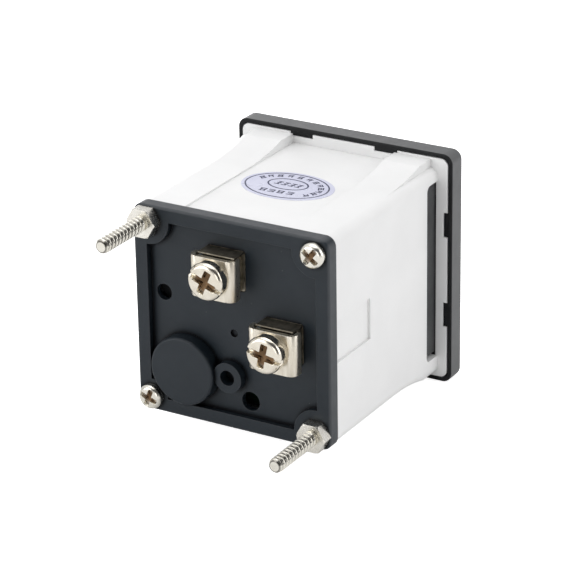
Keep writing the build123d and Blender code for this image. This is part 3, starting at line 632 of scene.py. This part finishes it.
HEAD_SECTORS = 192
HEAD_RINGS = 46
HEAD_MIDDLE = 0.02
HEAD_EDGE_ANGLES = range(8, 91, 8)
HEAD_CROWN = 0.22
HEAD_EDGE = 0.85
HEAD_FLOOR = 0.3
HEAD_CHAMFER = 0.12
GROOVE_WALL = 0.16
GROOVE_END = 0.35
GROOVE_RISE = 0.45
SLOT_SHARE = 0.62
SHANK_THREAD = 0.22
SHANK_ROWS = 8
SHANK_RUN_IN = 4
SHANK_CHAMFER = 0.35
# Painted shade in the recess: the depths below the head's top between which it fades in, how far inside the
# recess's reach it fades, its colour, and the roughness it adds.
RECESS_SHADE_TOP, RECESS_SHADE_BOTTOM = 0.55, 0.95
RECESS_SHADE_FADE = 0.3
RECESS_SHADE = (0.16, 0.10, 0.055)
RECESS_ROUGHNESS = 0.22

# Darker and lighter colour, and roughness.
NICKEL = ((0.72, 0.665, 0.56), (0.84, 0.79, 0.69), 0.17)
ZINC = ((0.74, 0.71, 0.63), (0.84, 0.815, 0.74), 0.20)

TERMINAL_SCREW = Kind(
    head_radius=3.75, depth=1.35, arm=2.5, half=0.72, slot_arm=4.2, slot_half=0.5,
    shank_radius=1.93, pitch=0.7, finish=NICKEL,
)
PLATE_SCREW = Kind(
    head_radius=2.5, depth=1.15, arm=1.85, half=0.52, slot_arm=0.0, slot_half=0.0,
    shank_radius=1.18, pitch=0.6, finish=ZINC,
)

# How far the recess is turned, in degrees, on each numbered screw.
TERMINAL_SCREW_TURNS = ((1, 23), (2, 12))
PLATE_SCREW_TURNS = ((1, 38), (2, 20))


def recessed(name, dark, light, rough, spot, top, reach):
    """Plated steel with painted shade in its recess, which is found by its place on the head."""
    look = metal(name, dark, light, rough, 0.00006)
    deep = look.ranged(look.part(look.place, "Y"), 1.0, 0.0, (top - RECESS_SHADE_BOTTOM) * MM, (top - RECESS_SHADE_TOP) * MM)
    inside = look.ranged(look.from_axis(spot), 1.0, 0.0, (reach - RECESS_SHADE_FADE) * MM, reach * MM)
    # Painted shade deep in the recess, which is rougher there as well.
    painted_shade = look.maths("MULTIPLY", deep, inside)
    look.paint(look.blend(painted_shade, look.made_of("Base Color"), RECESS_SHADE))
    look.roughen(look.maths("MULTIPLY_ADD", painted_shade, RECESS_ROUGHNESS, look.made_of("Roughness")))
    return look


def groove(along, across, arm, half):
    """How much of the full depth one groove of a recess has at a spot."""
    side = min(1.0, max(0.0, (half - abs(across)) / GROOVE_WALL))
    end = min(1.0, max(0.0, (arm - abs(along)) / GROOVE_END))
    return side * end


def head_loops(kind, angle, seat, top):
    """Loops of the head's top with its recess, from the middle outward."""
    c, s = math.cos(math.radians(angle)), math.sin(math.radians(angle))
    flat = kind.head_radius - HEAD_EDGE
    radii = [flat * (i + HEAD_MIDDLE) / HEAD_RINGS for i in range(HEAD_RINGS + 1)]
    radii += [flat + HEAD_EDGE * math.sin(math.radians(a)) for a in HEAD_EDGE_ANGLES] + [kind.head_radius]
    loops = []
    for r in radii:
        drop = HEAD_CROWN * (r / kind.head_radius) ** 2
        if r > flat:
            over = (r - flat) / HEAD_EDGE
            drop += HEAD_EDGE * (1 - math.sqrt(max(0.0, 1 - over * over)))
        loop = []
        for t in turns(HEAD_SECTORS):
            x, z = r * math.cos(t), r * math.sin(t)
            u, v = x * c + z * s, z * c - x * s
            cut = max(groove(u, v, kind.arm, kind.half), groove(v, u, kind.arm, kind.half)) * kind.depth
            cut *= 1.0 - GROOVE_RISE * min(1.0, r / kind.arm)
            if kind.slot_arm:
                cut = max(cut, groove(u, v, kind.slot_arm, kind.slot_half) * kind.depth * SLOT_SHARE)
            loop.append((x, max(top - drop - cut, seat + HEAD_FLOOR), z))
        loops.append(loop)
    return loops


def shank_loops(kind, seat, end):
    """Loops of the head's underside and the threaded shank."""
    around = turns(HEAD_SECTORS)
    loops = []
    for r, y in ((kind.head_radius, seat + HEAD_CHAMFER), (kind.head_radius - HEAD_CHAMFER, seat),
                 (kind.shank_radius, seat)):
        loops.append([(r * math.cos(t), y, r * math.sin(t)) for t in around])
    rows = int((seat - end) / kind.pitch * SHANK_ROWS)
    for row in range(rows + 1):
        y = seat - (seat - end) * row / rows
        loop = []
        for i, t in enumerate(around):
            wave = thread_wave(y / kind.pitch - i / HEAD_SECTORS)
            r = kind.shank_radius - SHANK_THREAD * (1 - wave) * min(1.0, row / SHANK_RUN_IN)
            r = min(r, kind.shank_radius - SHANK_CHAMFER + (y - end))
            loop.append((r * math.cos(t), y, r * math.sin(t)))
        loops.append(loop)
    return loops


def screw(name, node, body, kind, angle, seat):
    """A screw with a crowned and recessed head, in place of its plain solid."""
    low, high = millimetres(node)
    cx, cz = middle(node)
    loops = head_loops(kind, angle, seat, high.y) + shank_loops(kind, seat, low.y)
    verts, faces = rings([[(cx + x, y, cz + z) for x, y, z in loop] for loop in loops])
    LOOKS[name] = recessed(name, *kind.finish, (cx, cz), high.y, kind.arm)
    thing = piece(name, verts, faces, name, body=body, smooth=HEAD_SHARP)
    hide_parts(node)


for number, angle in TERMINAL_SCREW_TURNS:
    washer_top = millimetres(f"lock_washer_{number}")[1].y
    screw(f"terminal_screw_head_{number}", f"terminal_screw_{number}", f"screw_{number}",
          TERMINAL_SCREW, angle, washer_top)
for number, angle in PLATE_SCREW_TURNS:
    pad_top = millimetres("stud_nut_1")[0].y
    screw(f"plate_screw_head_{number}", f"plate_screw_{number}", "root",
          PLATE_SCREW, angle, pad_top)


# ---------------------------------------------------------------- terminal clamps

SHEET = 0.9
BEND = 1.5
BEND_STEPS = 12
CLAMP_HOLE = 2.15
HOLE_SIDES = 96
LEG_CHAMFER = 0.1
SHEET_CHAMFER = 0.12
SHEET_INSET = 0.07
PAD_MARGIN = SHEET + 1.22
PAD_INSET = 0.15
PAD_LIFT = 0.06
BASE_INSET = 0.05
CHEEK = 1.7
CHEEK_NEAR, CHEEK_FAR = SHEET + 0.3, SHEET + 1.1
CHEEK_CHAMFER = 0.12
CHEEK_INSET = 0.1
LIP_GAP = 0.06
LIP_SHORT = SHEET + 0.4
LIP_CHAMFER = 0.1

# The gap between pad and sheet, and how far the base's pieces reach into the base.
SKIN = 0.01
SUNK = 0.02

# A direction this close to an edge's own never meets it.
PARALLEL = 1e-9
NO_LIMIT = 1e9

# Number of the terminal, and the clamp's two ends along X.
CLAMPS = ((1, -2.75, 6.9), (2, -15.7, -5.35))


def holed_plate(spot, x_low, x_high, z_low, z_high, front, back):
    """Points and faces of a rectangular plate with a round hole, which has its middle at the spot."""
    cx, cz = spot
    hole, edge = [], []
    for t in turns(HOLE_SIDES):
        c, s = math.cos(t), math.sin(t)
        across = ((x_high if c > 0 else x_low) - cx) / c if abs(c) > PARALLEL else NO_LIMIT
        along = ((z_high if s > 0 else z_low) - cz) / s if abs(s) > PARALLEL else NO_LIMIT
        reach = min(abs(across), abs(along))
        hole.append((cx + CLAMP_HOLE * c, cz + CLAMP_HOLE * s))
        edge.append((cx + reach * c, cz + reach * s))
    verts = [(x, y, z) for y in (front, back) for loop in (hole, edge) for x, z in loop]
    faces = []
    for first, second in ((0, 1), (1, 3), (3, 2), (2, 0)):
        faces += band(first * HOLE_SIDES, second * HOLE_SIDES, HOLE_SIDES)
    return verts, faces


def leg_profile(way, start, end, front, leg_end):
    """Outline (x, y) of the sheet's bend and leg, on the side that way points to."""
    outer = [(start, front)]
    inner = [(start, front - SHEET)]
    for step in range(1, BEND_STEPS + 1):
        t = math.radians(90 * step / BEND_STEPS)
        for side, radius in ((outer, BEND), (inner, BEND - SHEET)):
            side.append((start + way * radius * math.sin(t), front - BEND + radius * math.cos(t)))
    outer += [(end, leg_end + LEG_CHAMFER), (end - way * LEG_CHAMFER, leg_end)]
    inner += [(end - way * SHEET, leg_end + LEG_CHAMFER), (end - way * (SHEET - LEG_CHAMFER), leg_end)]
    return outer + inner[::-1]


def clamp(number, x_low, x_high):
    """A saddle of bent sheet around the screw, in place of the plain solid."""
    low, high = millimetres(f"terminal_clamp_{number}")
    flat_low, flat_high = x_low + BEND, x_high - BEND
    verts, faces = holed_plate(middle(f"terminal_screw_{number}"), flat_low, flat_high, low.z, high.z,
                               high.y, high.y - SHEET)
    for way, start, end in ((-1, flat_low, x_low), (1, flat_high, x_high)):
        profile = leg_profile(way, start, end, high.y, low.y)
        midline = [((a[0] + b[0]) / 2, (a[1] + b[1]) / 2) for a, b in zip(profile, profile[::-1])]
        first, total = len(verts), len(profile)
        for level, inset in ((low.z, SHEET_INSET), (low.z + SHEET_CHAMFER, 0.0),
                             (high.z - SHEET_CHAMFER, 0.0), (high.z, SHEET_INSET)):
            for (x, y), (mx, my) in zip(profile, midline):
                away = math.hypot(x - mx, y - my) or 1.0
                verts.append((x - (x - mx) / away * inset, y - (y - my) / away * inset, level))
        for row in range(3):
            faces += band(first + row * total, first + (row + 1) * total, total)
        faces += caps(first, first + 3 * total, total)
    thing = piece(f"clamp_sheet_{number}", verts, faces, "clamp_nickel", body=f"clamp_{number}",
                  smooth=SHEET_SHARP)
    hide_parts(f"terminal_clamp_{number}")


def lip(number):
    """A thin ledge on the base's upper edge; the clamp slides just below it."""
    base_low, base_high = millimetres(f"terminal_base_{number}")
    high = millimetres(f"terminal_clamp_{number}")[1]
    foot, tip = base_high.y - SUNK, high.y - LIP_SHORT
    under, over = high.z + LIP_GAP, base_high.z - SUNK
    cut = LIP_CHAMFER
    outline = ((foot, under), (tip - cut, under), (tip, under + cut),
               (tip, over - cut), (tip - cut, over), (foot, over))
    ends = (base_low.x + BASE_INSET, base_high.x - BASE_INSET)
    verts = [(x, y, z) for x in ends for y, z in outline]
    thing = piece(f"base_lip_{number}", verts, band(0, 6, 6) + caps(0, 6, 6), "painted_shade_base")


def pad(number, x_low, x_high):
    """The pressure pad under the clamp's sheet."""
    low, high = millimetres(f"terminal_clamp_{number}")
    verts, faces = holed_plate(middle(f"terminal_screw_{number}"), x_low + PAD_MARGIN, x_high - PAD_MARGIN,
                               low.z + PAD_INSET, high.z - PAD_INSET, high.y - SHEET - SKIN, low.y + PAD_LIFT)
    thing = piece(f"pressure_pad_{number}", verts, faces, "painted_shade_base", body=f"clamp_{number}")


def cheeks(number, x_low, x_high):
    """Two upturned sides of the base, which guide the clamp."""
    base_low, base_high = millimetres(f"terminal_base_{number}")
    low, high = millimetres(f"terminal_clamp_{number}")
    foot, tip = base_high.y - SUNK, base_high.y + CHEEK
    cut = CHEEK_CHAMFER
    verts, faces = [], []
    for near, far in ((x_low + CHEEK_NEAR, x_low + CHEEK_FAR), (x_high - CHEEK_FAR, x_high - CHEEK_NEAR)):
        near, far = max(near, base_low.x + BASE_INSET), min(far, base_high.x - BASE_INSET)
        start = len(verts)
        outline = ((near + cut, tip), (near, tip - cut), (near, foot),
                   (far, foot), (far, tip - cut), (far - cut, tip))
        for z in (max(base_low.z, low.z) + CHEEK_INSET, min(base_high.z, high.z) - CHEEK_INSET):
            verts += [(x, y, z) for x, y in outline]
        faces += band(start, start + 6, 6) + caps(start, start + 6, 6)
    thing = piece(f"base_cheeks_{number}", verts, faces, "painted_shade_base")


for number, x_low, x_high in CLAMPS:
    clamp(number, x_low, x_high)
    lip(number)
    pad(number, x_low, x_high)
    cheeks(number, x_low, x_high)


# ---------------------------------------------------------------- inspection label

OVAL_SIDES = 128
INK = 0.012
FILM_SHIFT = -0.15
FILM_SIZE = (9.55, 6.85)
FILM_SLOPE = 0.06
OUTER_RING = (8.7, 6.2)
OUTER_WIDTH = 0.3
INNER_RING = (4.3, 2.75)
INNER_WIDTH = 0.32
INNER_SHIFT = (0.17, -0.7)

# Generic dashes that stand for the writing: along, across, length, width and turn in degrees.
RING_MARKS = (
    (0.0, 0.42, 1.15, 0.24, 0.0), (0.05, -0.05, 0.85, 0.22, 0.0), (-0.1, -0.5, 1.1, 0.24, 0.0),
    (-0.35, 0.0, 1.1, 0.24, 90.0), (0.36, -0.1, 0.9, 0.22, 90.0),
)
LOW_MARKS = (
    (0.0, 0.55, 1.35, 0.26, 4.0), (0.0, 0.0, 1.2, 0.24, -6.0), (0.05, -0.55, 1.4, 0.26, 2.0),
    (-0.45, 0.0, 1.25, 0.26, 84.0), (0.46, 0.1, 1.05, 0.24, 96.0),
)
RING_GROUPS = 12
RING_START, RING_STEP = -22, 17.5
RING_RADII = (6.9, 4.75)
LOW_SPOTS = ((3.1, 3.65), (1.25, 3.6), (-0.6, 3.45), (-2.6, 3.25))
MIDDLE_SPOTS = (-2.4, -1.0, 0.5, 2.0)
MIDDLE_ROWS = ((-0.62, 1.1), (0.0, 0.85), (0.62, 1.1))
MIDDLE_WIDTH = 0.27
MIDDLE_SLANT = 0.35
STROKE_LENGTH = 1.5
STROKE_TURN = 70


def oval(cx, cy, rx, ry):
    """Points (x, y) of an oval line."""
    return [(cx + rx * math.cos(t), cy + ry * math.sin(t)) for t in turns(OVAL_SIDES)]


def flat_ring(name, centre, outer, width, level, thick, look):
    """A thin raised oval line lying on a level surface."""
    verts, faces = [], []
    for off, z in ((0, level), (0, level + thick), (-width, level + thick), (-width, level)):
        verts += [(x, y, z) for x, y in oval(*centre, outer[0] + off, outer[1] + off)]
    for row in range(4):
        faces += band(row * OVAL_SIDES, ((row + 1) % 4) * OVAL_SIDES, OVAL_SIDES)
    return piece(name, verts, faces, look)


def bars(name, rectangles, level, thick, look):
    """Thin raised bars (x, y, length, width, angle) on a level surface."""
    verts, faces = [], []
    for x, y, length, width, angle in rectangles:
        c, s = math.cos(angle), math.sin(angle)
        start = len(verts)
        for z in (level, level + thick):
            for u, v in ((-1, -1), (1, -1), (1, 1), (-1, 1)):
                du, dv = u * length / 2, v * width / 2
                verts.append((x + du * c - dv * s, y + du * s + dv * c, z))
        faces += caps(start, start + 4, 4) + band(start, start + 4, 4)
    return piece(name, verts, faces, look)


def oval_plate(name, centre, outer, low, high, look):
    """A flat oval disc with a slightly sloped rim."""
    loops = []
    for inset, z in ((0.0, low), (0.0, (low + high) / 2), (FILM_SLOPE, high)):
        loops.append([(x, y, z) for x, y in oval(*centre, outer[0] - inset, outer[1] - inset)])
    return piece(name, *rings(loops), look)


def ring_dashes(cx, cy):
    """Groups of dashes that follow the outer ring."""
    rx, ry = RING_RADII
    for i in range(RING_GROUPS):
        angle = math.radians(RING_START - RING_STEP * i)
        x, y = cx + rx * math.cos(angle), cy + ry * math.sin(angle)
        heading = math.atan2(ry * math.cos(angle), -rx * math.sin(angle))
        c, s = math.cos(heading), math.sin(heading)
        for along, across, length, width, turn in RING_MARKS[i % 2:]:
            yield (x + along * c - across * s, y + along * s + across * c, length, width,
                   heading + math.radians(turn))


def low_dashes(cx, cy):
    """Four groups of dashes below the middle."""
    for i, (dx, dy) in enumerate(LOW_SPOTS):
        for along, across, length, width, turn in LOW_MARKS[: len(LOW_MARKS) - i % 2]:
            yield cx + dx + along, cy + dy + across, length, width, math.radians(turn)


def middle_dashes(cx, cy):
    """Four groups of dashes inside the inner ring."""
    shift_x, shift_y = INNER_SHIFT
    for dx in MIDDLE_SPOTS:
        for dy, length in MIDDLE_ROWS:
            yield cx + shift_x + dx + dy * MIDDLE_SLANT, cy + shift_y + dy, length, MIDDLE_WIDTH, 0.0
        yield cx + dx, cy + shift_y, STROKE_LENGTH, MIDDLE_WIDTH, math.radians(STROKE_TURN)


def label():
    """The label's film, with two printed rings and the dashes."""
    low, high = millimetres("inspection_label")
    cx, cy = (low.x + high.x) / 2, (low.y + high.y) / 2
    level = high.z
    film = oval_plate("label_film", (cx + FILM_SHIFT, cy), FILM_SIZE, low.z, level, "label_film")
    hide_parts("inspection_label")
    inner = (cx + INNER_SHIFT[0], cy + INNER_SHIFT[1])
    flat_ring("label_outer_ring", (cx, cy), OUTER_RING, OUTER_WIDTH, level, INK, "label_ink")
    flat_ring("label_inner_ring", inner, INNER_RING, INNER_WIDTH, level, INK, "label_ink")
    bars("label_ring_dashes", ring_dashes(cx, cy), level, INK, "label_ink")
    bars("label_low_dashes", low_dashes(cx, cy), level, INK, "label_ink")
    bars("label_middle_dashes", middle_dashes(cx, cy), level, INK, "label_ink")


label()


# ---------------------------------------------------------------- dial print

PIVOT = (10.5, -11.0)
ARC_RADIUS = 21.4
ARC_WIDTH = 0.18
ARC_STEPS = 60
SWEEP = 90.0
TICK_MINOR, MINOR_HALF = 1.5, 0.09
TICK_MAJOR, MAJOR_HALF = 2.4, 0.17
TICK_OVERLAP = 0.01
NUMBER_RADIUS = 26.9
NUMBER_SIZE = 2.7
DIVISIONS = 25
EACH_MAJOR = 5
STEP_VALUE = 10
PRINT = 0.03


def on_dial(distance, degrees):
    """The spot (x, z) at a distance from the pivot, in the pointer's direction at these degrees."""
    angle = math.radians(degrees)
    return PIVOT[0] - distance * math.cos(angle), PIVOT[1] + distance * math.sin(angle)


def arc_strip(level, inner, outer, first, last, steps):
    """Points and faces of a printed strip between two radii, in blocks that lie end to end."""
    verts, faces = [], []
    for i in range(steps):
        start = len(verts)
        a = first + (last - first) * i / steps
        b = first + (last - first) * (i + 1) / steps
        for y in (level, level - PRINT):
            for distance, degrees in ((inner, a), (outer, a), (outer, b), (inner, b)):
                x, z = on_dial(distance, degrees)
                verts.append((x, y, z))
        for face in ((0, 1, 2, 3), (7, 6, 5, 4), (0, 4, 5, 1), (1, 5, 6, 2), (2, 6, 7, 3), (3, 7, 4, 0)):
            faces.append(tuple(start + k for k in face))
    return verts, faces


def dial_scale(level):
    """The scale's arc and ticks, as one piece."""
    strips = [(ARC_RADIUS - ARC_WIDTH, ARC_RADIUS, 0.0, SWEEP, ARC_STEPS)]
    for i in range(DIVISIONS + 1):
        reach, half = (TICK_MINOR, MINOR_HALF) if i % EACH_MAJOR else (TICK_MAJOR, MAJOR_HALF)
        half = math.degrees(half / ARC_RADIUS)
        at = SWEEP * i / DIVISIONS
        strips.append((ARC_RADIUS - TICK_OVERLAP, ARC_RADIUS + reach, at - half, at + half, 1))
    verts, faces = [], []
    for strip in strips:
        more_verts, more_faces = arc_strip(level, *strip)
        faces += [tuple(len(verts) + i for i in face) for face in more_faces]
        verts += more_verts
    scale = piece("dial_scale", verts, faces, "dial_ink")


def dial_number(i, level):
    """A printed number on the dial, made from the text of Blender's own font."""
    text = bpy.data.curves.new(f"dial_number_{i}", "FONT")
    text.body = str(i * STEP_VALUE)
    text.size = NUMBER_SIZE * MM
    text.align_x = "CENTER"
    text.align_y = "CENTER"
    text.extrude = PRINT / 2 * MM
    text.resolution_u = 4
    shape = bpy.data.objects.new("text", text)
    mesh = bpy.data.meshes.new_from_object(shape)
    bpy.data.objects.remove(shape)
    x, z = on_dial(NUMBER_RADIUS, SWEEP * i * EACH_MAJOR / DIVISIONS)
    turn = Matrix.Rotation(math.radians(90), 4, "X")
    mesh.transform(Matrix.Translation((x * MM, (level - PRINT / 2) * MM, z * MM)) @ turn)
    number = bpy.data.objects.new(f"dial_number_{i}", mesh)
    bpy.context.scene.collection.objects.link(number)
    dress(number, "dial_ink")
    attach(number, "root")


dial_front = millimetres("dial_plate")[0].y
dial_scale(dial_front)
for i in range(DIVISIONS // EACH_MAJOR + 1):
    dial_number(i, dial_front)


# ---------------------------------------------------------------- floor

FLOOR_HALF = 4.0
FLOOR_GAP = 0.0001
FLOOR_GLOW = 0.80


def floor():
    """A pale floor that also glows for the camera, so that it looks as white as the backdrop."""
    z = CAD_BOX[0].z - FLOOR_GAP
    corners = [(x * FLOOR_HALF, y * FLOOR_HALF, z) for x, y in ((-1, -1), (1, -1), (1, 1), (-1, 1))]
    mesh = bpy.data.meshes.new("floor")
    mesh.from_pydata(corners, [], [(0, 1, 2, 3)])
    thing = bpy.data.objects.new("floor", mesh)
    bpy.context.scene.collection.objects.link(thing)
    look = Look("floor", Roughness=0.9, Specular_IOR_Level=0.0)
    look.paint(look.ramp(look.noise(2.0, 2), (0.3, (0.90, 0.90, 0.90)), (0.7, (0.93, 0.93, 0.93))))
    look.shader.inputs["Emission Color"].default_value = (1, 1, 1, 1)
    seen = look.new("LightPath").outputs["Is Camera Ray"]
    look.join(look.ranged(seen, 0.0, FLOOR_GLOW, 0.0, 1.0), look.shader.inputs["Emission Strength"])
    mesh.materials.append(look.material)


floor()
